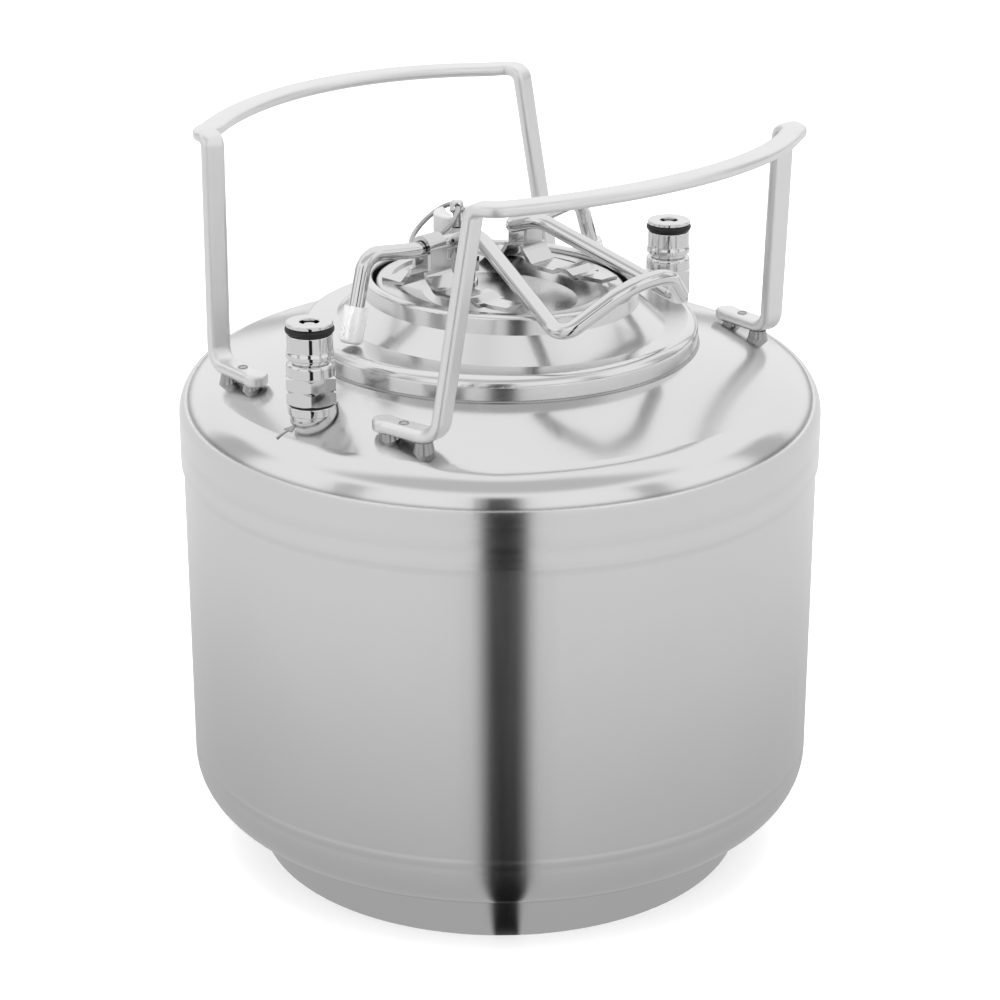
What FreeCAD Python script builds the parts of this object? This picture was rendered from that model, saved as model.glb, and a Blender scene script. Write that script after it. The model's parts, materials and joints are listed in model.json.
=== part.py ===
import FreeCAD, Part
import math
import os
import Sketcher
from FreeCAD import Placement, Rotation, Vector

# Six-litre stainless keg with two quick-connect posts, an oval clamped lid and two carrying handles.
# Millimetres, +Z up. The origin is the centre of the foot ring's lower face, +X runs from the gas
# post to the liquid post, and the lid's bail handle lies toward -Y.

doc = FreeCAD.newDocument("Keg")
sheet = doc.addObject("Spreadsheet::Sheet", "Dim")

SIZES = {
    # shell
    "shell_rad": 115.0,
    "cap_rad": 115.9,
    "wall": 1.5,
    "low_seam": 42.0,
    "high_seam": 151.5,
    "brim_z": 181.0,
    "shoulder_rad": 15.0,
    "floor_z": 20.0,
    "floor_corner": 18.0,
    "foot_rad": 90.6,
    # neck
    "neck_rad": 71.0,
    "neck_z": 193.9,
    "hole_rad": 66.0,
    "shelf_z": 202.5,
    "crease_x": 55.3,
    "crease_y": 62.0,
    "rim_z": 217.0,
    "bead_z": 210.6,
    "rim_x": 46.2,
    "rim_y": 51.8,
    "mouth_x": 43.0,
    "mouth_y": 48.5,
    "seat_z": 208.4,
    # lid
    "lid_gap": 1.2,
    "lid_top": 215.3,
    "lid_floor": 210.2,
    "strap_x": 24.0,
    "strap_thick": 1.5,
    "strap_wide": 12.0,
    "ear_wide": 8.0,
    # bail
    "bail_rod": 5.6,
    "pivot_y": 11.0,
    "pivot_z": 230.5,
    # posts
    "post_x": 90.3,
    "post_top": 220.4,
    "hex_flats": 16.8,
    "barrel_rad": 7.8,
    "collar_rad": 8.2,
    "post_hole": 6.4,
    "tube_rad": 4.0,
    # handles
    "bar_wide": 8.6,
    "bar_thick": 4.3,
    "bar_round": 1.9,
    "grip_z": 269.5,
    "grip_rise": 1.5,
    "tab_z": 189.1,
    # relief valve
    "relief_y": 22.0,
    "relief_top": 237.0,
    "ring_rad": 10.8,
    "ring_wire": 1.8,
}
for row, (alias, size) in enumerate(SIZES.items(), start=1):
    sheet.set("A%d" % row, alias)
    sheet.set("B%d" % row, str(size))
    sheet.setAlias("B%d" % row, alias)
doc.recompute()

SUB_PARTS = []


def number(expression):
    """Value of an expression such as Dim.wall * 2."""
    found = sheet.evalExpression(expression.replace("Dim.", ""))
    return float(getattr(found, "Value", found))


def dim(alias):
    return float(sheet.get(alias))


def new_body(name):
    body = doc.addObject("PartDesign::Body", name)
    body.Label = name
    SUB_PARTS.append(body)
    return body


def new_sketch(body, name, role="XZ_Plane", offset=None):
    """A sketch on one of the body's own origin planes, lifted along the plane's normal."""
    sketch = body.newObject("Sketcher::SketchObject", name)
    plane = [f for f in body.Origin.OriginFeatures if f.Role == role][0]
    sketch.AttachmentSupport = [(plane, "")]
    sketch.MapMode = "FlatFace"
    if offset:
        sketch.setExpression("AttachmentOffset.Base.z", offset)
    return sketch


def bind(sketch, constraint, expression):
    index = sketch.addConstraint(constraint)
    sketch.setExpression("Constraints[%d]" % index, expression)


def pin(sketch, geo, pos, x_size, y_size):
    """Hold a point of the sketch at (x, y)."""
    for kind, size, axis in (("DistanceX", x_size, -2), ("DistanceY", y_size, -1)):
        if abs(number(size)) < 1e-9:
            sketch.addConstraint(Sketcher.Constraint("PointOnObject", geo, pos, axis))
        else:
            bind(sketch, Sketcher.Constraint(kind, -1, 1, geo, pos, number(size)), size)


def outline(sketch, corners):
    """Closed outline through corners (x, y) or (x, y, radius); every size is an expression."""
    points = [Vector(number(c[0]), number(c[1]), 0) for c in corners]
    count = len(corners)
    starts, ends, arcs = [], [], []
    for i, corner in enumerate(corners):
        here = points[i]
        back = (points[i - 1] - here).normalize()
        ahead = (points[(i + 1) % count] - here).normalize()
        if len(corner) == 2:
            ends.append(here)
            starts.append(here)
            arcs.append(None)
            continue
        radius = number(corner[2])
        half = back.getAngle(ahead) / 2
        reach = radius / math.tan(half)
        middle = here + (back + ahead).normalize() * (radius / math.sin(half) - radius)
        ends.append(here + back * reach)
        starts.append(here + ahead * reach)
        arcs.append(Part.Arc(ends[i], middle, starts[i]))
    lines = []
    for i in range(count):
        segment = Part.LineSegment(starts[i], ends[(i + 1) % count])
        lines.append(sketch.addGeometry(segment, False))
    for i, corner in enumerate(corners):
        before, after = lines[i - 1], lines[i]
        if arcs[i] is None:
            sketch.addConstraint(Sketcher.Constraint("Coincident", before, 2, after, 1))
            pin(sketch, after, 1, corner[0], corner[1])
            continue
        arc = sketch.addGeometry(arcs[i], False)
        first, last = 1, 2
        if sketch.getPoint(arc, 1).distanceToPoint(ends[i]) > 1e-6:
            first, last = 2, 1
        sketch.addConstraint(Sketcher.Constraint("Tangent", before, 2, arc, first))
        sketch.addConstraint(Sketcher.Constraint("Tangent", arc, last, after, 1))
        bind(sketch, Sketcher.Constraint("Radius", arc, number(corner[2])), corner[2])
        mark = sketch.addGeometry(Part.Point(points[i]), True)
        sketch.addConstraint(Sketcher.Constraint("PointOnObject", mark, 1, before))
        sketch.addConstraint(Sketcher.Constraint("PointOnObject", mark, 1, after))
        pin(sketch, mark, 1, corner[0], corner[1])


def circle(sketch, radius, x="0", y="0"):
    centre = Vector(number(x), number(y), 0)
    ring = Part.Circle(centre, Vector(0, 0, 1), number(radius))
    geo = sketch.addGeometry(ring, False)
    bind(sketch, Sketcher.Constraint("Radius", geo, number(radius)), radius)
    pin(sketch, geo, 3, x, y)


def oval(sketch, x_size, y_size):
    """Ellipse about the origin with its long half-axis y_size along the sketch's Y axis."""
    a, b = number(y_size), number(x_size)
    shape = Part.Ellipse(Vector(0, a, 0), Vector(b, 0, 0), Vector(0, 0, 0))
    geo = sketch.addGeometry(shape, False)
    sketch.exposeInternalGeometry(geo)
    major, minor = geo + 1, geo + 2
    sketch.addConstraint(Sketcher.Constraint("Coincident", geo, 3, -1, 1))
    sketch.addConstraint(Sketcher.Constraint("Vertical", major))
    bind(sketch, Sketcher.Constraint("Distance", major, 2 * a), "2 * (%s)" % y_size)
    bind(sketch, Sketcher.Constraint("Distance", minor, 2 * b), "2 * (%s)" % x_size)


def turn(body, name, corners, cut=False):
    """Revolve an (r, z) outline about the Z axis."""
    sketch = new_sketch(body, name + "_outline")
    outline(sketch, corners)
    kind = "PartDesign::Groove" if cut else "PartDesign::Revolution"
    feature = body.newObject(kind, name)
    feature.Profile = sketch
    feature.ReferenceAxis = (sketch, ["V_Axis"])
    feature.Angle = 360
    return feature


def pad(body, name, sketch, length, reverse=False):
    feature = body.newObject("PartDesign::Pad", name)
    feature.Profile = sketch
    feature.setExpression("Length", length)
    feature.Reversed = reverse
    return feature


def pocket(body, name, sketch, length, reverse=False):
    feature = body.newObject("PartDesign::Pocket", name)
    feature.Profile = sketch
    feature.setExpression("Length", length)
    feature.Reversed = reverse
    return feature


def loft(body, name, low, high, cut=False):
    kind = "PartDesign::SubtractiveLoft" if cut else "PartDesign::AdditiveLoft"
    feature = body.newObject(kind, name)
    feature.Profile = low
    feature.Sections = [high]
    feature.Ruled = True
    return feature


def round_edges(body, name, level, radius, reach):
    """Fillet the body's flat edges at a level that extend at least as far as reach in Y."""
    doc.recompute()
    base = body.Tip
    edges = []
    for index, edge in enumerate(base.Shape.Edges, start=1):
        box = edge.BoundBox
        if box.ZLength < 0.01 and abs(box.ZMax - dim(level)) < 0.01 and box.YMax > reach:
            edges.append("Edge%d" % index)
    fillet = body.newObject("PartDesign::Fillet", name)
    fillet.Base = (base, edges)
    fillet.setExpression("Radius", radius)


def place(thing, x="0", y="0", z="0"):
    for axis, size in (("x", x), ("y", y), ("z", z)):
        thing.setExpression("Placement.Base." + axis, size)


def solid(name, shape, x=0.0, y=0.0, z=0.0):
    """A sub-part whose shape comes straight from Part's functions."""
    thing = doc.addObject("Part::Feature", name)
    thing.Label = name
    thing.Shape = shape
    thing.Placement = Placement(Vector(x, y, z), Rotation())
    SUB_PARTS.append(thing)
    return thing


# ---- shell ------------------------------------------------------------------------------------

SLOPE = "(Dim.neck_z - Dim.brim_z) / (Dim.cap_rad - Dim.neck_rad)"


def dome_height(radius):
    """Expression for the top dome's outer height at a radius."""
    return "Dim.neck_z + (Dim.neck_rad - (%s)) * %s" % (radius, SLOPE)


def top_dome():
    body = new_body("top_dome")
    turn(body, "dome", [
        ("Dim.cap_rad", "Dim.high_seam"),
        ("Dim.cap_rad", "Dim.brim_z", "Dim.shoulder_rad"),
        ("Dim.hole_rad", dome_height("Dim.hole_rad")),
        ("Dim.hole_rad", dome_height("Dim.hole_rad") + " - Dim.wall"),
        ("Dim.cap_rad - Dim.wall", "Dim.brim_z - Dim.wall * 0.75", "Dim.shoulder_rad - Dim.wall"),
        ("Dim.cap_rad - Dim.wall", "Dim.high_seam"),
    ])
    sketch = new_sketch(body, "post_holes", "XY_Plane", "Dim.brim_z - 2")
    circle(sketch, "Dim.post_hole", "Dim.post_x")
    circle(sketch, "Dim.post_hole", "-Dim.post_x")
    pocket(body, "post_bores", sketch, "20", True)


def body_shell():
    body = new_body("body_shell")
    sketch = new_sketch(body, "tube_section", "XY_Plane", "Dim.low_seam")
    circle(sketch, "Dim.shell_rad")
    circle(sketch, "Dim.shell_rad - Dim.wall")
    pad(body, "tube", sketch, "Dim.high_seam - Dim.low_seam")


def bottom_dome():
    body = new_body("bottom_dome")
    turn(body, "bowl", [
        ("Dim.shell_rad", "Dim.low_seam"),
        ("Dim.shell_rad", "Dim.floor_z", "Dim.floor_corner"),
        ("84", "Dim.floor_z"),
        ("40", "Dim.floor_z + 5", "120"),
        ("0", "Dim.floor_z + 5"),
        ("0", "Dim.floor_z + 5 + Dim.wall"),
        ("40", "Dim.floor_z + 5 + Dim.wall", "120"),
        ("84", "Dim.floor_z + Dim.wall"),
        ("Dim.shell_rad - Dim.wall", "Dim.floor_z + Dim.wall", "Dim.floor_corner - Dim.wall"),
        ("Dim.shell_rad - Dim.wall", "Dim.low_seam"),
    ])


def foot_ring():
    body = new_body("foot_ring")
    turn(body, "skirt", [
        ("Dim.foot_rad - Dim.wall", "Dim.floor_z"),
        ("Dim.foot_rad", "Dim.floor_z"),
        ("Dim.foot_rad", "0", "2"),
        ("Dim.foot_rad - 5", "0", "0.7"),
        ("Dim.foot_rad - 5", "Dim.wall", "0.7"),
        ("Dim.foot_rad - Dim.wall", "Dim.wall"),
    ])


def neck_ring():
    body = new_body("neck_ring")
    turn(body, "collar", [
        ("Dim.neck_rad", "Dim.neck_z"),
        ("Dim.neck_rad", "Dim.shelf_z", "3.6"),
        ("0", "Dim.shelf_z"),
        ("0", dome_height("Dim.neck_rad - Dim.wall")),
        ("Dim.neck_rad - Dim.wall", dome_height("Dim.neck_rad - Dim.wall")),
    ])
    crease = new_sketch(body, "crease", "XY_Plane", "Dim.shelf_z")
    oval(crease, "Dim.crease_x", "Dim.crease_y")
    bead = new_sketch(body, "bead", "XY_Plane", "Dim.bead_z")
    oval(bead, "Dim.rim_x + 0.4", "Dim.rim_y + 0.4")
    loft(body, "throat", crease, bead)
    rim = new_sketch(body, "rim_section", "XY_Plane", "Dim.bead_z")
    oval(rim, "Dim.rim_x + 0.4", "Dim.rim_y + 0.4")
    pad(body, "rim", rim, "Dim.rim_z - Dim.bead_z")
    inner = new_sketch(body, "inner_circle", "XY_Plane", "Dim.shelf_z - Dim.wall")
    circle(inner, "Dim.neck_rad - Dim.wall")
    pocket(body, "under_shelf", inner, "20")
    low = new_sketch(body, "inner_crease", "XY_Plane", "Dim.shelf_z - Dim.wall")
    oval(low, "Dim.crease_x - 1.8", "Dim.crease_y - 1.8")
    high = new_sketch(body, "inner_seat", "XY_Plane", "Dim.seat_z")
    oval(high, "Dim.mouth_x + 4.6", "Dim.mouth_y + 4.6")
    loft(body, "inner_throat", low, high, cut=True)
    mouth = new_sketch(body, "mouth_section", "XY_Plane", "Dim.rim_z")
    oval(mouth, "Dim.mouth_x", "Dim.mouth_y")
    pocket(body, "mouth", mouth, "12")
    round_edges(body, "rim_round", "rim_z", "1.2", 40)


# ---- handles ----------------------------------------------------------------------------------


def bent_path(points, radii):
    """Straight runs through points, joined by tangent arcs; radii belong to the inner points."""
    edges = []
    last = points[0]
    for i, radius in enumerate(radii, start=1):
        here = points[i]
        back = (points[i - 1] - here).normalize()
        ahead = (points[i + 1] - here).normalize()
        half = back.getAngle(ahead) / 2
        reach = radius / math.tan(half)
        begin = here + back * reach
        end = here + ahead * reach
        middle = here + (back + ahead).normalize() * (radius / math.sin(half) - radius)
        if last.distanceToPoint(begin) > 1e-4:
            edges.append(Part.LineSegment(last, begin).toShape())
        edges.append(Part.Arc(begin, middle, end).toShape())
        last = end
    edges.append(Part.LineSegment(last, points[-1]).toShape())
    return edges


def slot_face(centre, along, across, width, height, corner):
    """Rounded rectangle wire in the plane of across and along x across."""
    up = along.cross(across).normalize()
    w, k = width / 2, height / 2
    corners = [(w, k), (-w, k), (-w, -k), (w, -k)]
    edges = []
    last = None
    first = None
    for i, (a, b) in enumerate(corners):
        here = centre + across * a + up * b
        before = corners[i - 1]
        after = corners[(i + 1) % 4]
        back = (centre + across * before[0] + up * before[1] - here).normalize()
        ahead = (centre + across * after[0] + up * after[1] - here).normalize()
        begin = here + back * corner
        end = here + ahead * corner
        middle = here + (back + ahead).normalize() * corner * (math.sqrt(2) - 1)
        if last is not None:
            edges.append(Part.LineSegment(last, begin).toShape())
        else:
            first = begin
        edges.append(Part.Arc(begin, middle, end).toShape())
        last = end
    edges.append(Part.LineSegment(last, first).toShape())
    return Part.Wire(edges)


def tab_point(side_x, side_y, reach):
    """A point on a tab's centre line, reach of the way from its rounded end to the leg."""
    end, base = Vector(87.0, 33.0, 0), Vector(84.2, 56.1, 0)
    spot = end + (base - end) * reach
    return Vector(side_x * spot.x, side_y * spot.y, dim("tab_z"))


def handle(name, side):
    """A flat bar with rounded edges: tab, leaning leg, curved grip, leg and tab. side is -1 or +1."""
    middle = dim("tab_z") + dim("bar_thick") / 2
    tab_end = tab_point(1, side, 0) + Vector(0, 0, middle - dim("tab_z"))
    base = tab_point(1, side, 1) + Vector(0, 0, middle - dim("tab_z"))
    leg_top = Vector(76.4, side * 64.9, dim("grip_z"))
    corner = Vector(75.4, side * 71.7, dim("grip_z"))
    grip = Vector(68.0, side * 75.2, dim("grip_z"))
    crown = Vector(0, side * 94.3, dim("grip_z") + dim("grip_rise"))
    grip_arc = Part.Arc(grip, crown, Vector(-grip.x, grip.y, grip.z)).toShape()
    half = bent_path([tab_end, base, leg_top, corner, grip], [7.0, 4.0, 6.4])
    mirror = [edge.mirror(Vector(0, 0, 0), Vector(1, 0, 0)) for edge in half]
    spine = Part.Wire(Part.__sortEdges__(half + [grip_arc] + mirror))
    begin = spine.OrderedVertexes[0].Point
    way = base - tab_end
    way.x = math.copysign(1, begin.x) * way.x
    way.normalize()
    across = Vector(-way.y, way.x, 0)
    wide, thick = dim("bar_wide"), dim("bar_thick")
    section = slot_face(begin, way, across, wide, thick, dim("bar_round"))
    bar = spine.makePipeShell([section], True, False)
    ends = []
    for sign in (1, -1):
        disc = Part.makeCylinder(wide / 2, thick, tab_point(sign, side, 0))
        ends.append(disc.makeFillet(1.2, disc.Edges))
    solid(name, bar.fuse(ends).removeSplitter())


def handle_pads(dome_form):
    """Weld pads between the dome and the handle tabs, two under each tab."""
    pads = []
    for side_x in (1, -1):
        for side_y in (1, -1):
            for reach in (0.1, 0.72):
                top = tab_point(side_x, side_y, reach)
                cone = Part.makeCone(4.4, 3.0, 6.92, top - Vector(0, 0, 7.0))
                pads.append(cone.cut(dome_form))
    solid("handle_pads", Part.makeCompound(pads))


# ---- posts ------------------------------------------------------------------------------------


def above(height):
    """Height measured down from the post's top face."""
    return "Dim.post_top - %s" % height


def hexagon_corners(flats, turned):
    """Six corners of a hexagon about the origin; turned is the first corner's angle in degrees."""
    corners = []
    for i in range(6):
        angle = math.radians(60 * i + turned)
        size = flats + " / sqrt(3)"
        corners.append(("%s * %.6f" % (size, math.cos(angle)), "%s * %.6f" % (size, math.sin(angle))))
    return corners


def post_body(prefix, x, turned, notched):
    hex_low, hex_high = above(28.1), above(18.4)
    body = new_body(prefix + "_post_body")
    place(body, x)
    turn(body, "barrel", [
        ("3.3", "Dim.post_top", "0.5"),
        ("8.05", "Dim.post_top", "0.5"),
        ("8.05", above(1.2)),
        ("5.6", above(1.2)),
        ("5.6", above(4.1)),
        ("Dim.barrel_rad", above(4.1), "0.4"),
        ("Dim.barrel_rad", above(9.8), "2"),
        ("Dim.collar_rad", above(10.9), "1"),
        ("Dim.collar_rad", above(12.5), "0.4"),
        ("6.9", above(12.5)),
        ("6.9", above(13.6), "0.4"),
        ("8.3", above(14.6), "1.4"),
        ("8.3", above(19.2)),
        ("6.65", above(19.2)),
        ("6.65", above(18.9)),
        ("5.4", above(18.4)),
        ("5.4", above(16)),
        ("4.9", above(15.5)),
        ("4.9", above(4.2)),
        ("3.3", above(2.6)),
    ])
    hexagon = new_sketch(body, "hexagon", "XY_Plane", hex_low)
    outline(hexagon, hexagon_corners("Dim.hex_flats", turned))
    circle(hexagon, "6.65")
    pad(body, "nut", hexagon, "9.7")
    turn(body, "corner_chamfers", [
        ("Dim.hex_flats / 2 + 0.1", hex_high),
        ("12", hex_high),
        ("12", above(20.4)),
    ], cut=True)
    turn(body, "low_chamfers", [
        ("Dim.hex_flats / 2 + 0.1", hex_low),
        ("12", hex_low),
        ("12", above(26.1)),
    ], cut=True)
    if notched:
        turn(body, "gas_notches", [
            ("Dim.hex_flats / 2 + 0.1", above(23.2)),
            ("10.6", above(21.9)),
            ("10.6", above(24.5)),
        ], cut=True)


def post_seals(prefix, x):
    ring = new_body(prefix + "_post_oring")
    place(ring, x)
    sketch = new_sketch(ring, "oring_section")
    circle(sketch, "1.4", "7.02", above(2.65))
    feature = ring.newObject("PartDesign::Revolution", "oring")
    feature.Profile = sketch
    feature.ReferenceAxis = (sketch, ["V_Axis"])
    feature.Angle = 360

    seal = new_body(prefix + "_post_seal")
    place(seal, x)
    turn(seal, "washer", [
        ("6.75", above(28.1)),
        ("8.0", above(28.1), "0.3"),
        ("8.0", above(29), "0.3"),
        ("6.75", above(29)),
    ])

    oring = new_body(prefix + "_tube_oring")
    place(oring, x)
    turn(oring, "gasket", [
        ("Dim.tube_rad + 0.05", above(20.0)),
        ("5.15", above(20.0), "0.3"),
        ("5.15", above(21.4), "0.3"),
        ("Dim.tube_rad + 0.05", above(21.4)),
    ])


def post_boss(prefix, x, dome_form):
    """Welded boss that the post screws onto, trimmed to the dome's slope."""
    boss = new_body(prefix + "_boss_form")
    SUB_PARTS.remove(boss)
    place(boss, x)
    turn(boss, "spigot", [
        ("5.2", above(20.4)),
        ("6.55", above(20.4)),
        ("6.55", above(29)),
        ("8.1", above(29), "0.4"),
        ("8.1", above(32.2), "0.3"),
        ("7.5", above(32.2)),
        ("7.5", above(40)),
        ("5.2", above(40)),
    ])
    cut = doc.addObject("Part::Cut", prefix + "_boss")
    cut.Label = prefix + "_boss"
    cut.Base = boss
    cut.Tool = dome_form
    SUB_PARTS.append(cut)


def dip_tube(prefix, x, tube_end):
    tube = new_body(prefix + "_dip_tube")
    place(tube, x)
    turn(tube, "tube", [
        ("Dim.tube_rad - 0.8", above(18.9)),
        ("5.3", above(18.9)),
        ("5.3", above(20.0)),
        ("Dim.tube_rad", above(20.0)),
        ("Dim.tube_rad", tube_end),
        ("Dim.tube_rad - 0.8", tube_end),
    ])


def post_valve(prefix, x):
    """Spring-loaded poppet, its seal and its spring."""
    poppet = new_body(prefix + "_poppet")
    place(poppet, x)
    turn(poppet, "plunger", [
        ("0", above(0.9)),
        ("2.2", above(0.9), "0.5"),
        ("2.2", above(5.9)),
        ("4.6", above(5.9)),
        ("4.6", above(7.2)),
        ("2.6", above(7.2)),
        ("2.6", above(9.2)),
        ("0", above(9.2)),
    ])

    lip = new_body(prefix + "_poppet_seal")
    place(lip, x)
    turn(lip, "lip", [
        ("2.25", above(3.8)),
        ("2.9", above(3.8)),
        ("4.5", above(5.0)),
        ("4.5", above(5.85)),
        ("2.25", above(5.85)),
    ])
    spring(prefix + "_poppet_spring", x, 3.6, 0.7, "post_top", 18.75, 7.35, 5)


def spring(name, x, coil_rad, wire, reference, low, high, turns, y=0.0):
    """Compression spring between two depths below a reference height."""
    bottom = dim(reference) - low + wire / 2
    top = dim(reference) - high - wire / 2
    helix = Part.makeHelix((top - bottom) / turns, top - bottom, coil_rad)
    profile = Part.Wire(Part.makeCircle(wire / 2, Vector(coil_rad, 0, 0), Vector(0, 1, 0)))
    coil = Part.Wire(helix.Edges).makePipeShell([profile], True, True)
    solid(name, coil, number(x), y, bottom)


# ---- lid --------------------------------------------------------------------------------------


def lid_plate():
    body = new_body("lid_plate")
    web_x = "Dim.mouth_x - Dim.lid_gap"
    web_y = "Dim.mouth_y - Dim.lid_gap"
    low = "Dim.seat_z - 7.4"
    flange = new_sketch(body, "flange_section", "XY_Plane", low)
    oval(flange, "Dim.mouth_x + 3.4", "Dim.mouth_y + 3.4")
    pad(body, "flange", flange, "2")
    web = new_sketch(body, "web_section", "XY_Plane", low)
    oval(web, web_x, web_y)
    pad(body, "web", web, "Dim.lid_top - (%s)" % low)
    under = new_sketch(body, "under_section", "XY_Plane", low)
    oval(under, web_x + " - 2", web_y + " - 2")
    pocket(body, "underside", under, "Dim.lid_floor - 2.4 - (%s)" % low, True)
    step = new_sketch(body, "step_section", "XY_Plane", "Dim.lid_top")
    oval(step, web_x + " - 5.5", web_y + " - 5.5")
    pocket(body, "step", step, "0.9")
    dish_top = new_sketch(body, "dish_top", "XY_Plane", "Dim.lid_top - 0.9")
    oval(dish_top, web_x + " - 8", web_y + " - 8")
    dish_low = new_sketch(body, "dish_low", "XY_Plane", "Dim.lid_floor")
    oval(dish_low, web_x + " - 17", web_y + " - 17")
    loft(body, "dish", dish_top, dish_low, cut=True)
    bore = new_sketch(body, "relief_bore", "XY_Plane", "Dim.lid_floor + 1")
    circle(bore, "6", "0", "Dim.relief_y")
    pocket(body, "relief_hole", bore, "8")
    round_edges(body, "web_round", "lid_top", "1.6", 45)


def lid_seal():
    body = new_body("lid_seal")
    spine = new_sketch(body, "seal_line", "XY_Plane", "Dim.seat_z - 2.85")
    oval(spine, "Dim.mouth_x + 1.65", "Dim.mouth_y + 1.65")
    section = new_sketch(body, "seal_section", "XZ_Plane")
    circle(section, "2.5", "Dim.mouth_x + 1.65", "Dim.seat_z - 2.85")
    ring = body.newObject("PartDesign::AdditivePipe", "seal")
    ring.Profile = section
    ring.Spine = (spine, ["Edge1"])


def lid_strap(name, side):
    """Stamped strap across the lid whose looped ear carries the bail rod."""
    thick = dim("strap_thick")
    eye = Vector(0, dim("pivot_y"), dim("pivot_z"))
    loop = dim("bail_rod") / 2 + 0.4 + thick / 2
    rest = dim("lid_top") + thick / 2
    rear = [Vector(0, 29.5, rest), Vector(0, 19.5, rest), Vector(0, eye.y + loop, 221.5)]
    front = [Vector(0, eye.y - loop, 221.5), Vector(0, 2.2, rest + 0.5), Vector(0, -9.0, rest + 0.5),
             Vector(0, -11.5, rest + 2.0), Vector(0, -15.5, rest + 2.0), Vector(0, -18.5, rest + 0.6),
             Vector(0, -22.0, rest + 0.6), Vector(0, -31.0, rest + 1.2)]
    up = Vector(0, eye.y + loop, eye.z)
    down = Vector(0, eye.y - loop, eye.z)
    edges = bent_path(rear + [up], [3.0, 3.0])
    edges.append(Part.Arc(up, eye + Vector(0, 0, loop), down).toShape())
    edges += bent_path([down] + front, [3.0, 3.0, 1.5, 1.8, 1.8, 1.5, 4.0])
    line = Part.Wire(edges)
    half = dim("strap_wide") / 2
    profile = Vector(0, 0, 0)
    section = Part.Wire(Part.makePolygon([
        rear[0] + Vector(-half, 0, -thick / 2), rear[0] + Vector(half, 0, -thick / 2),
        rear[0] + Vector(half, 0, thick / 2), rear[0] + Vector(-half, 0, thick / 2),
        rear[0] + Vector(-half, 0, -thick / 2)]))
    shape = line.makePipeShell([section], True, False)
    trims = []
    narrow = dim("ear_wide") / 2
    for sign in (1, -1):
        x_low = narrow if sign > 0 else -narrow - 6
        trims.append(Part.makeBox(6, 16, 20, Vector(x_low, eye.y - 8, 223.0)))
        trims.append(Part.makeBox(6, 16, 20, Vector(x_low, -36, 205.0)))
    solid(name, shape.cut(trims), side * dim("strap_x"))


def bail():
    """One bent rod: foot, pivot run, splayed leg, arched cross-piece, and back."""
    eye_y, eye_z = dim("pivot_y"), dim("pivot_z")
    half = [Vector(62.5, 10.6, 204.9), Vector(53.6, 12.0, 233.4), Vector(30.0, eye_y, eye_z),
            Vector(14.6, eye_y, eye_z), Vector(15.2, -4.8, 235.8), Vector(31.0, -60.0, 214.5),
            Vector(9.6, -71.6, 230.6)]
    radii = [7.0, 12.0, 5.0, 12.0, 6.5, 20.0]
    other = [Vector(-p.x, p.y, p.z) for p in reversed(half)]
    edges = bent_path(half + other, radii + radii[::-1])
    wire = Part.Wire(edges)
    start = half[0]
    way = half[1] - half[0]
    section = Part.Wire(Part.makeCircle(dim("bail_rod") / 2, start, way))
    solid("bail", wire.makePipeShell([section], True, False))
    for name, sign in (("foot_cap_left", -1), ("foot_cap_right", 1)):
        end = Vector(sign * half[0].x, half[0].y, half[0].z)
        top = Vector(sign * half[1].x, half[1].y, half[1].z)
        run = (top - end).normalize()
        low = end - run * 1.2
        sleeve = Part.makeCylinder(4.2, 13.0, low, run)
        sleeve = sleeve.makeFillet(1.6, [e for e in sleeve.Edges if e.BoundBox.ZMax < low.z + 2])
        sleeve = sleeve.cut(Part.makeCylinder(dim("bail_rod") / 2, 20.0, end, run))
        solid(name, sleeve)


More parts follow.
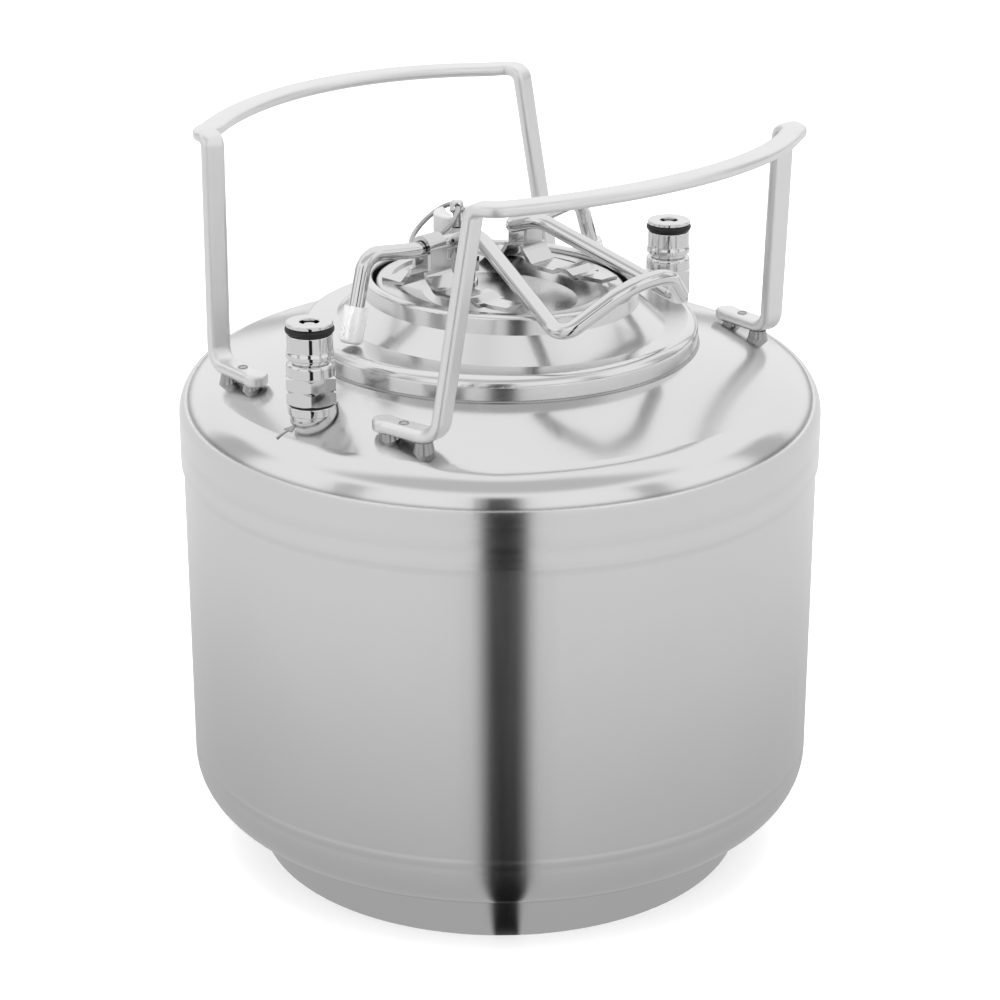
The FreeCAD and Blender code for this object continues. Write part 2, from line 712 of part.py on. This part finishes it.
def relief_valve():
    y = "Dim.relief_y"
    base = "Dim.lid_floor"

    body = new_body("relief_body")
    place(body, "0", y)
    turn(body, "barrel", [
        ("2.4", base + " - 10.5"),
        ("5.6", base + " - 10.5", "0.5"),
        ("5.6", base + " - 2.4"),
        ("5.95", base + " - 2.4"),
        ("5.95", base),
        ("7.6", base),
        ("7.6", base + " + 1.2", "0.4"),
        ("6.6", base + " + 1.2"),
        ("6.6", "Dim.relief_top - 11"),
        ("4.4", "Dim.relief_top - 11"),
        ("4.4", base + " - 8.5"),
        ("2.4", base + " - 8.5"),
    ])
    hexagon = new_sketch(body, "hexagon", "XY_Plane", base + " + 5")
    outline(hexagon, hexagon_corners("14.4", 0))
    circle(hexagon, "5")
    pad(body, "nut", hexagon, "5.5")

    cap = new_body("relief_cap")
    place(cap, "0", y)
    turn(cap, "knob", [
        ("2.5", "Dim.relief_top - 6"),
        ("2.5", "Dim.relief_top - 11"),
        ("7.7", "Dim.relief_top - 11", "0.5"),
        ("8.5", "Dim.relief_top - 7", "1"),
        ("8.5", "Dim.relief_top", "1.2"),
        ("3.6", "Dim.relief_top", "0.5"),
        ("3.6", "Dim.relief_top - 6"),
    ])
    slot = new_sketch(cap, "slot_section", "XY_Plane", "Dim.relief_top")
    outline(slot, [("-10", "-3.6"), ("10", "-3.6"), ("10", "3.6"), ("-10", "3.6")])
    pocket(cap, "slot", slot, "6")
    cap.Placement.Rotation = Rotation(Vector(0, 0, 1), 60)

    stem = new_body("relief_stem")
    place(stem, "0", y)
    turn(stem, "rod", [
        ("0", base + " - 7.3"),
        ("3.9", base + " - 7.3"),
        ("3.9", base + " - 6.0"),
        ("1.5", base + " - 6.0"),
        ("1.5", "Dim.relief_top - 1.0"),
        ("2.4", "Dim.relief_top - 0.4", "0.4"),
        ("2.4", "Dim.relief_top + 3.7", "1.0"),
        ("0", "Dim.relief_top + 3.7"),
    ])
    eye = new_sketch(stem, "eye_section", "XZ_Plane")
    circle(eye, "1.4", "0", "Dim.relief_top + 1.9")
    hole = pocket(stem, "eye", eye, "12")
    hole.Midplane = True
    stem.Placement.Rotation = Rotation(Vector(0, 0, 1), -30)

    seal = new_body("relief_seal")
    place(seal, "0", y)
    turn(seal, "disc", [
        ("0", base + " - 8.45"),
        ("3.8", base + " - 8.45"),
        ("3.8", base + " - 7.35", "0.3"),
        ("0", base + " - 7.35"),
    ])
    lid_floor_depth = dim("relief_top") - dim("lid_floor")
    spring("relief_spring", "0", 3.0, 0.8, "relief_top", lid_floor_depth + 5.8, 11.2, 6, dim("relief_y"))


def relief_ring():
    """Pull ring hung through the stem's eye, lying over the cap's edge."""
    eye = Vector(0, dim("relief_y"), dim("relief_top") + 1.9)
    out = Vector(math.cos(math.radians(150)), math.sin(math.radians(150)), 0)
    dip = math.radians(40)
    fall = out * math.cos(dip) + Vector(0, 0, -math.sin(dip))
    normal = fall.cross(Vector(-out.y, out.x, 0)).normalize()
    radius = dim("ring_rad")
    ring = Part.makeTorus(radius, dim("ring_wire") / 2, eye + fall * radius, normal)
    solid("relief_ring", ring)


# ---- build ------------------------------------------------------------------------------------

top_dome()
body_shell()
bottom_dome()
foot_ring()
neck_ring()

form = new_body("dome_form")
SUB_PARTS.remove(form)
turn(form, "dome_solid", [
    ("0", "Dim.high_seam"),
    ("Dim.cap_rad", "Dim.high_seam"),
    ("Dim.cap_rad", "Dim.brim_z", "Dim.shoulder_rad"),
    ("Dim.hole_rad", dome_height("Dim.hole_rad")),
    ("0", dome_height("Dim.hole_rad")),
])
doc.recompute()

handle("handle_front", -1)
handle("handle_rear", 1)
handle_pads(form.Shape)
for prefix, x, turned, notched, tube_end in (
        ("gas", "-Dim.post_x", 49, True, above(58)),
        ("liquid", "Dim.post_x", 41, False, "Dim.floor_z + 5")):
    post_body(prefix, x, turned, notched)
    post_seals(prefix, x)
    post_boss(prefix, x, form)
    dip_tube(prefix, x, tube_end)
    post_valve(prefix, x)
lid_plate()
lid_seal()
lid_strap("lid_strap_left", -1)
lid_strap("lid_strap_right", 1)
bail()
relief_valve()
relief_ring()
doc.recompute()

bad = [o.Name for o in doc.Objects if "Invalid" in o.State or "Error" in o.State]
for thing in SUB_PARTS:
    if thing.Shape.isNull() or not thing.Shape.isValid() or thing.Shape.Volume <= 0:
        bad.append(thing.Label)
if bad:
    raise RuntimeError("failed: " + ", ".join(bad))

os.makedirs("parts", exist_ok=True)
for thing in SUB_PARTS:
    thing.Shape.exportStep(os.path.join("parts", thing.Label + ".step"))
print("wrote", len(SUB_PARTS), "parts")
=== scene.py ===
import json
import math

import bpy
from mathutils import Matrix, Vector


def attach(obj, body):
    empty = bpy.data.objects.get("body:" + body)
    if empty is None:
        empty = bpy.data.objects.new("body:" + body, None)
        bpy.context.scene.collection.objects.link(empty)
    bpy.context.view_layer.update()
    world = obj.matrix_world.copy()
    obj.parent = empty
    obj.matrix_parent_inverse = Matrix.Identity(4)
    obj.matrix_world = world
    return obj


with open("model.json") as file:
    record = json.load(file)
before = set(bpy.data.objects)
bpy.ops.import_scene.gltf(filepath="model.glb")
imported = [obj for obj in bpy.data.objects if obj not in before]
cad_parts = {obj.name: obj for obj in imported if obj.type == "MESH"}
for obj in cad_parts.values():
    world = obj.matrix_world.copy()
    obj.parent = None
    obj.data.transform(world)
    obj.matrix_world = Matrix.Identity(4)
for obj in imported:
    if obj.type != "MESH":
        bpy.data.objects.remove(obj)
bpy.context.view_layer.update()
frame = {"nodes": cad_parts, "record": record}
scene = bpy.context.scene
HALF_ROOT = math.sqrt(0.5)


# ---- node helpers -------------------------------------------------------------------------------


class Net:
    """Small builder for a material's node tree."""

    def __init__(self, name):
        self.material = bpy.data.materials.new(name)
        self.material.use_nodes = True
        self.tree = self.material.node_tree
        self.shader = self.tree.nodes["Principled BSDF"]
        self.place = self.tree.nodes.new("ShaderNodeTexCoord").outputs["Object"]

    def node(self, kind, inputs=(), **settings):
        made = self.tree.nodes.new(kind)
        for key, value in settings.items():
            setattr(made, key, value)
        for key, value in dict(inputs).items():
            if isinstance(value, bpy.types.NodeSocket):
                self.tree.links.new(value, made.inputs[key])
            else:
                made.inputs[key].default_value = value
        return made

    def stretch(self, scale):
        return self.node("ShaderNodeMapping", {"Vector": self.place, "Scale": scale}).outputs[0]

    def noise(self, scale, detail=3.0, stretch=None, rough=0.55):
        vector = self.stretch(stretch) if stretch else self.place
        made = self.node("ShaderNodeTexNoise", {"Vector": vector, "Scale": scale, "Detail": detail,
                                                "Roughness": rough})
        return made.outputs["Fac"]

    def ramp(self, value, low, high, to_low=0.0, to_high=1.0, kind="LINEAR"):
        made = self.node("ShaderNodeMapRange", {"Value": value, "From Min": low, "From Max": high,
                                                "To Min": to_low, "To Max": to_high})
        made.interpolation_type = kind
        made.clamp = True
        return made.outputs[0]

    def smooth(self, value, low, high, to_low=0.0, to_high=1.0):
        return self.ramp(value, low, high, to_low, to_high, "SMOOTHSTEP")

    def maths(self, kind, a, b=0.0):
        return self.node("ShaderNodeMath", {0: a, 1: b}, operation=kind).outputs[0]

    def mix(self, factor, low, high):
        made = self.node("ShaderNodeMix", data_type="RGBA")
        for key, value in ((0, factor), (6, low), (7, high)):
            if isinstance(value, bpy.types.NodeSocket):
                self.tree.links.new(value, made.inputs[key])
            else:
                made.inputs[key].default_value = value
        return made.outputs[2]

    def axis(self, letter):
        return self.node("ShaderNodeSeparateXYZ", {0: self.place}).outputs[letter]

    def turned(self, x, y):
        """The same place in axes turned by 45 degrees: toward the front of the stage, and across it."""
        ahead = self.maths("MULTIPLY", self.maths("ADD", x, y), -HALF_ROOT)
        aside = self.maths("MULTIPLY", self.maths("SUBTRACT", x, y), HALF_ROOT)
        return ahead, aside

    def set(self, **values):
        for key, value in values.items():
            socket = self.shader.inputs[key.replace("_", " ")]
            if isinstance(value, bpy.types.NodeSocket):
                self.tree.links.new(value, socket)
            else:
                socket.default_value = value

    def bump(self, height, distance):
        made = self.node("ShaderNodeBump", {"Height": height, "Distance": distance, "Strength": 1.0})
        self.tree.links.new(made.outputs[0], self.shader.inputs["Normal"])


def grey(value, tint=0.0):
    return (value, value, value * (1 + tint), 1)


def steel(name, shade, rough, grain=None, vary=0.02, depth=0.000004, seams=(), ripple=0.0):
    """Stainless steel: drawn or polished grain, faint smudges and soft wear in the roughness."""
    net = Net(name)
    cloud = net.noise(9.0, 3.0)
    speck = net.noise(420.0, 4.0, rough=0.7)
    if grain == "upright":
        lines = net.noise(6.0, 6.0, stretch=(55.0, 55.0, 1.2))
    elif grain == "level":
        lines = net.noise(6.0, 6.0, stretch=(1.0, 1.0, 90.0))
    else:
        lines = net.noise(90.0, 5.0)
    colour = net.mix(net.ramp(cloud, 0.3, 0.7), grey(shade * 0.96), grey(shade))
    rough_now = net.ramp(lines, 0.25, 0.75, rough - vary, rough + vary)
    rough_now = net.maths("ADD", rough_now, net.ramp(cloud, 0.35, 0.75, -0.01, 0.02))
    height = net.maths("ADD", lines, net.maths("MULTIPLY", speck, 0.25))
    for z, width, lift in seams:
        gap = net.maths("ABSOLUTE", net.maths("SUBTRACT", net.axis("Z"), z))
        band = net.ramp(gap, width * 0.25, width, 1.0, 0.0)
        colour = net.mix(net.maths("MULTIPLY", band, 0.12), colour, grey(shade * 0.8))
        height = net.maths("ADD", height, net.maths("MULTIPLY", band, lift))
    if ripple:
        swell = net.noise(16.0, 1.0, stretch=(1.0, 1.0, 1.6))
        height = net.maths("ADD", height, net.maths("MULTIPLY", swell, ripple))
    net.set(Base_Color=colour, Metallic=1.0, Roughness=rough_now)
    net.bump(height, depth)
    return net.material


def rubber():
    net = Net("black_rubber")
    bloom = net.ramp(net.noise(140.0, 4.0), 0.35, 0.75)
    net.set(Base_Color=net.mix(bloom, grey(0.006), grey(0.014)), Roughness=net.ramp(bloom, 0, 1, 0.36, 0.5))
    net.shader.inputs["Specular IOR Level"].default_value = 0.3
    net.bump(net.noise(2600.0, 3.0), 0.00003)
    return net.material


def vinyl():
    net = Net("clear_vinyl")
    haze = net.ramp(net.noise(160.0, 3.0), 0.3, 0.7)
    net.set(Base_Color=net.mix(haze, grey(0.86), grey(0.93)),
            Roughness=net.ramp(haze, 0, 1, 0.25, 0.4), Transmission_Weight=0.55, IOR=1.3)
    net.bump(net.noise(500.0, 3.0), 0.00004)
    return net.material


def pale_plastic():
    net = Net("pale_plastic")
    cloud = net.ramp(net.noise(60.0, 3.0), 0.3, 0.7)
    net.set(Base_Color=net.mix(cloud, grey(0.42), grey(0.48, 0.01)),
            Roughness=net.ramp(cloud, 0, 1, 0.4, 0.5))
    net.bump(net.noise(1500.0, 3.0), 0.00003)
    return net.material


# Rolled beads round the shell: height, half width in metres, and how far the bead lifts the surface.
SEAM_BEAD = (0.1515, 0.0030, 30.0)
SHOULDER_BEAD = (0.1600, 0.0030, 25.0)
FOOT_BEAD = (0.042, 0.0020, 40.0)

MATERIALS = {
    "body_steel": steel("body_steel", 0.70, 0.19, "upright", 0.02, 0.000004,
                        seams=(SEAM_BEAD, SHOULDER_BEAD, FOOT_BEAD)),
    "polished_steel": steel("polished_steel", 0.72, 0.19, None, 0.02, 0.000006, ripple=16.0),
    "satin_steel": steel("satin_steel", 0.80, 0.36, None, 0.05, 0.00001),
    "bright_fittings": steel("bright_fittings", 0.70, 0.07, None, 0.02, 0.000005),
    "spring_steel": steel("spring_steel", 0.5, 0.25, None, 0.03),
    "black_rubber": rubber(),
    "clear_vinyl": vinyl(),
    "pale_plastic": pale_plastic(),
}
LID_STEEL = steel("lid_steel", 0.66, 0.21, None, 0.05, 0.000012, ripple=30.0)
# Darker steel: the real tone of the weld beads and the etched arrow, and on the handle pads painted shade
# under the handle tabs.
WELD_AND_SHADE_STEEL = steel("weld_and_shade_steel", 0.42, 0.26, None, 0.05, 0.00003)
DOME_STEEL = steel("dome_steel", 0.71, 0.16, "level", 0.02, 0.000004,
                   seams=(SEAM_BEAD, SHOULDER_BEAD), ripple=10.0)
STRAP_STEEL = steel("strap_steel", 0.64, 0.12, None, 0.03, 0.00001)
BAIL_STEEL = steel("bail_steel", 0.70, 0.09, None, 0.03, 0.000006)
# The handle pads take the darker steel as painted shade under the tabs, and partly as the dark of their
# welds.
SPECIAL = {"lid_plate": LID_STEEL, "top_dome": DOME_STEEL, "handle_pads": WELD_AND_SHADE_STEEL, "bail": BAIL_STEEL,
           "lid_strap_left": STRAP_STEEL, "lid_strap_right": STRAP_STEEL,
           "relief_ring": MATERIALS["spring_steel"]}

for row in frame["record"]["subparts"]:
    node = frame["nodes"][row["node"]]
    material = SPECIAL.get(row["node"], MATERIALS[row["material_slot"]])
    if node.material_slots:
        for index in range(len(node.material_slots)):
            node.material_slots[index].material = material
    else:
        node.data.materials.append(material)


# ---- surface details ----------------------------------------------------------------------------


def weld_ring(name, radius, wire, centre):
    """Fine weld bead, a thin torus lying flat on the keg."""
    bpy.ops.mesh.primitive_torus_add(major_radius=radius, minor_radius=wire, major_segments=160,
                                     minor_segments=10, location=centre)
    made = bpy.context.object
    made.name = name
    made.data.name = name
    made.data.materials.append(WELD_AND_SHADE_STEEL)
    bpy.ops.object.shade_smooth()
    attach(made, "keg")


# The dome's cone in millimetres: its upper edge, and its fall over the run out to the shoulder.
CONE_EDGE_RADIUS, CONE_EDGE_HEIGHT = 71.0, 193.9
CONE_FALL, CONE_RUN = 12.9, 44.9
# The arrow in millimetres: outline, under and upper face above the dome, and where its middle lies.
ARROW = [(-4.6, -0.45), (0.6, -0.45), (0.6, -2.1), (4.6, 0.0), (0.6, 2.1), (0.6, 0.45), (-4.6, 0.45)]
ARROW_FACES = (0.02, 0.10)
ARROW_RADIUS, ARROW_ASIDE, ARROW_LIFT = 103.0, -1.5, 0.05


def arrow_mark():
    """Small etched arrow on the dome that points at the gas post."""
    slope = math.atan(CONE_FALL / CONE_RUN)
    height = CONE_EDGE_HEIGHT + (CONE_EDGE_RADIUS - ARROW_RADIUS) * math.tan(slope) + ARROW_LIFT
    mesh = bpy.data.meshes.new("gas_arrow_mark")
    count = len(ARROW)
    points = []
    for lift in ARROW_FACES:
        points += [(x / 1000, y / 1000, lift / 1000) for x, y in ARROW]
    sides = [(i, (i + 1) % count, count + (i + 1) % count, count + i) for i in range(count)]
    mesh.from_pydata(points, [], [list(range(count))[::-1], list(range(count, 2 * count))] + sides)
    mesh.materials.append(WELD_AND_SHADE_STEEL)
    made = bpy.data.objects.new("gas_arrow_mark", mesh)
    scene.collection.objects.link(made)
    made.location = (-ARROW_RADIUS / 1000, ARROW_ASIDE / 1000, height / 1000)
    made.rotation_euler = (0, -slope, 0)
    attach(made, "keg")


TAB_MIDDLE = (0.0859, 0.0411, 0.19345)

weld_ring("neck_weld", 0.0712, 0.0005, (0, 0, 0.1939))
weld_ring("foot_weld", 0.0907, 0.0006, (0, 0, 0.0200))
for side_x, word_x in ((-1, "left"), (1, "right")):
    for side_y, word_y in ((-1, "front"), (1, "rear")):
        spot = (side_x * TAB_MIDDLE[0], side_y * TAB_MIDDLE[1], TAB_MIDDLE[2])
        weld_ring("tab_spot_%s_%s" % (word_y, word_x), 0.0015, 0.0003, spot)
arrow_mark()


# ---- stage --------------------------------------------------------------------------------------

CAMERA_AT = Vector((-0.6674, -0.6674, 0.4978))
CAMERA_AIM = Vector((0, 0, 0.1313))
LIGHT_AIM = Vector((0, 0, 0.12))
FLOOR_HALF = 4.0
CARD_HALF = 1.8
CARD_HEIGHT = 0.0004
# Turns in radians from the front of the stage, and half widths, of the joints in the bright tent.
TENT_JOINTS = ((0.95, 0.10), (-0.95, 0.10), (1.9, 0.2), (-1.9, 0.2))


def sheet(name, half, height, material):
    mesh = bpy.data.meshes.new(name)
    corners = [(-half, -half, height), (half, -half, height), (half, half, height), (-half, half, height)]
    mesh.from_pydata(corners, [], [(0, 1, 2, 3)])
    mesh.materials.append(material)
    made = bpy.data.objects.new(name, mesh)
    scene.collection.objects.link(made)
    return made


floor_net = Net("floor_white")
floor_tone = floor_net.ramp(floor_net.noise(3.0), 0.3, 0.7)
floor_net.set(Base_Color=floor_net.mix(floor_tone, grey(0.9), grey(0.92)), Roughness=0.9,
              Emission_Color=grey(1.0), Emission_Strength=0.22)
sheet("floor", FLOOR_HALF, 0.0, floor_net.material)


def painted_reflection_card():
    """Glowing card round the keg, seen only in reflections, as a painted reflection: painted shade darkens
    its glow toward the keg, and a dark runner toward the front is a painted dark reflection.
    """
    net = Net("painted_reflection_card")
    x, y = net.axis("X"), net.axis("Y")
    ahead, aside = net.turned(x, y)
    far = net.maths("SQRT", net.maths("ADD", net.maths("MULTIPLY", x, x), net.maths("MULTIPLY", y, y)))
    # painted shade: the card's glow falls off toward the keg, standing in for the shade near its foot
    tone = net.smooth(far, 0.03, 0.48, 0.49, 0.84)
    # painted reflection: a dark runner toward the front, seen in the keg as a dark stripe
    half = net.maths("ADD", net.maths("MULTIPLY", ahead, 0.135), -0.0080)
    drift = net.maths("MULTIPLY", ahead, 0.026)
    off = net.maths("DIVIDE", net.maths("ABSOLUTE", net.maths("SUBTRACT", aside, drift)), half)
    runner = net.smooth(off, 0.78, 1.35)
    front = net.smooth(ahead, 0.06, 0.10)
    dark = net.maths("MULTIPLY", net.maths("SUBTRACT", 1.0, runner), front)
    tone = net.maths("MULTIPLY", tone, net.maths("SUBTRACT", 1.0, net.maths("MULTIPLY", dark, 0.985)))
    glow = net.node("ShaderNodeCombineColor", {0: tone, 1: tone, 2: tone}).outputs[0]
    # the card glows though it is no lamp; its glow is a painted reflection
    net.set(Base_Color=grey(0.0), Emission_Color=glow, Emission_Strength=1.0, Roughness=1.0)
    net.shader.inputs["Specular IOR Level"].default_value = 0.0
    return net.material


# glowing card seen only in reflections: a painted reflection laid over the floor
card = sheet("painted_reflection_card", CARD_HALF, CARD_HEIGHT, painted_reflection_card())
card.visible_camera = False
card.visible_diffuse = False
card.visible_shadow = False
card.visible_transmission = False

world = bpy.data.worlds.new("studio")
scene.world = world
world.use_nodes = True


class WorldNet(Net):
    """The same builder on the world's node tree."""

    def __init__(self):
        self.tree = world.node_tree
        self.shader = self.tree.nodes["Background"]
        self.place = self.tree.nodes.new("ShaderNodeTexCoord").outputs["Generated"]


def studio_light():
    """Bright tent with a darker front ceiling, soft joints, a darker horizon and a dark front post."""
    net = WorldNet()
    x, y, z = net.axis("X"), net.axis("Y"), net.axis("Z")
    ahead, aside = net.turned(x, y)
    front = net.smooth(ahead, 0.02, 0.30)
    ceiling = net.maths("MULTIPLY", net.smooth(z, 0.62, 0.74), net.smooth(z, 0.95, 0.985, 1.0, 0.0))
    value = net.maths("SUBTRACT", 1.06, net.maths("MULTIPLY", net.maths("MULTIPLY", ceiling, front), 0.4))
    turn = net.node("ShaderNodeMath", {0: aside, 1: ahead}, operation="ARCTAN2").outputs[0]
    low = net.smooth(z, 0.45, 0.60, 1.0, 0.0)
    for middle, width in TENT_JOINTS:
        gap = net.maths("ABSOLUTE", net.maths("SUBTRACT", turn, middle))
        joint = net.maths("MULTIPLY", net.smooth(gap, width * 0.6, width * 1.4, 1.0, 0.0), low)
        value = net.maths("MULTIPLY", value, net.maths("SUBTRACT", 1.0, net.maths("MULTIPLY", joint, 0.45)))
    gap = net.maths("ABSOLUTE", turn)
    post = net.maths("MULTIPLY", net.smooth(gap, 0.09, 0.16, 1.0, 0.0), low)
    value = net.maths("MULTIPLY", value, net.maths("SUBTRACT", 1.0, net.maths("MULTIPLY", post, 0.97)))
    value = net.maths("MULTIPLY", value, net.smooth(z, -0.02, 0.12, 0.35, 1.0))
    seen = net.tree.nodes.new("ShaderNodeLightPath").outputs["Is Camera Ray"]
    shown = net.mix(seen, net.node("ShaderNodeCombineColor", {0: value, 1: value, 2: value}).outputs[0],
                    (1, 1, 1, 1))
    net.set(Color=shown, Strength=1.0)


studio_light()


def softbox(name, place, size, power):
    data = bpy.data.lights.new(name, "AREA")
    data.shape = "RECTANGLE"
    data.size, data.size_y = size
    data.energy = power
    light = bpy.data.objects.new(name, data)
    scene.collection.objects.link(light)
    light.location = place
    light.rotation_euler = (LIGHT_AIM - light.location).to_track_quat("-Z", "Y").to_euler()
    light.visible_glossy = False


softbox("key_left", (-1.6, 0.2, 1.0), (1.6, 1.8), 20)
softbox("key_right", (0.2, -1.6, 1.0), (1.6, 1.8), 20)
softbox("top", (0, 0, 2.0), (1.8, 1.8), 24)

camera_data = bpy.data.cameras.new("camera")
camera = bpy.data.objects.new("camera", camera_data)
scene.collection.objects.link(camera)
camera.location = CAMERA_AT
camera.rotation_euler = (CAMERA_AIM - CAMERA_AT).to_track_quat("-Z", "Y").to_euler()
camera_data.lens = 99.0
camera_data.sensor_width = 36.0
camera_data.clip_start = 0.01
scene.camera = camera
scene.view_settings.view_transform = "Standard"
